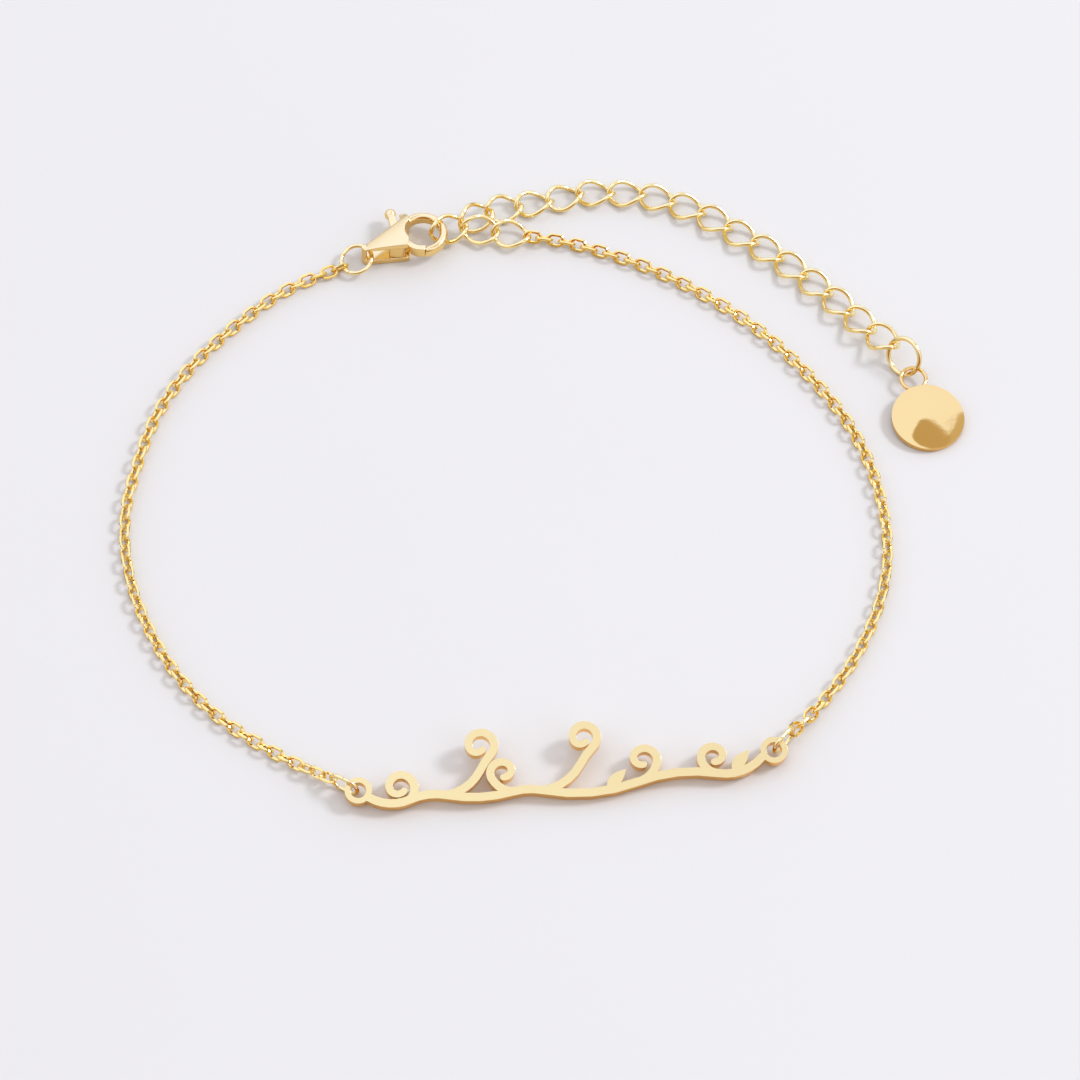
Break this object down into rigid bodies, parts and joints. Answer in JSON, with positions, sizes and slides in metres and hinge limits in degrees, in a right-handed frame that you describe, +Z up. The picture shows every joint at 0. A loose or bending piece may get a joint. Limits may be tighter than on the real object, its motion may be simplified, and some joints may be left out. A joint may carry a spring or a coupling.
{
  "type": "nameplate bracelet",
  "caption": "Openwork scroll plate on a fine cable chain, closed by a trigger clasp with an extender of twisted links and a round tag, laid out in a loop on a flat surface.",
  "frame": {"origin": "centre of the laid-out bracelet's bounding box, on the surface that it lies on", "axes": "+X along the scroll plate from its left eye to its right eye, +Y from the plate towards the clasp, +Z up from the surface"},
  "size_m": [0.0689, 0.0612, 0.003],
  "materials": {
    "plate_gold": "polished gold plate, satin face",
    "ring_gold": "polished gold plate",
    "chain_gold": "diamond-cut gold plate",
    "clasp_gold": "cast and polished gold plate",
    "extender_gold": "polished gold plate",
    "tag_gold": "polished gold plate"
  },
  "bodies": {
    "bracelet": {"nameplate": "plate_gold", "left_plate_ring": "ring_gold", "right_plate_ring": "ring_gold", "left_chain": "chain_gold", "right_chain": "chain_gold", "clasp_ring": "ring_gold", "clasp_body": "clasp_gold", "clasp_pin": "clasp_gold", "extender_link_01": "extender_gold", "extender_link_02": "extender_gold", "extender_link_03": "extender_gold", "extender_link_04": "extender_gold", "extender_link_05": "extender_gold", "extender_link_06": "extender_gold", "extender_link_07": "extender_gold", "extender_link_08": "extender_gold", "extender_link_09": "extender_gold", "extender_link_10": "extender_gold", "extender_link_11": "extender_gold", "extender_link_12": "extender_gold", "extender_link_13": "extender_gold", "extender_link_14": "extender_gold", "extender_link_15": "extender_gold", "extender_link_16": "extender_gold", "extender_link_17": "extender_gold", "extender_link_18": "extender_gold", "extender_link_19": "extender_gold", "tag_ring": "ring_gold", "tag_disc": "tag_gold"},
    "lever": {"clasp_lever": "clasp_gold"}
  },
  "joints": [
    {"name": "trigger", "type": "hinge", "parent": "bracelet", "child": "lever", "pos_m": [-0.01207, 0.02292, 0.0012], "axis": [0, 0, 1], "range_deg": [0, 25], "stiffness_Nm_per_rad": 0.001, "springref_deg": -17.19}
  ]
}
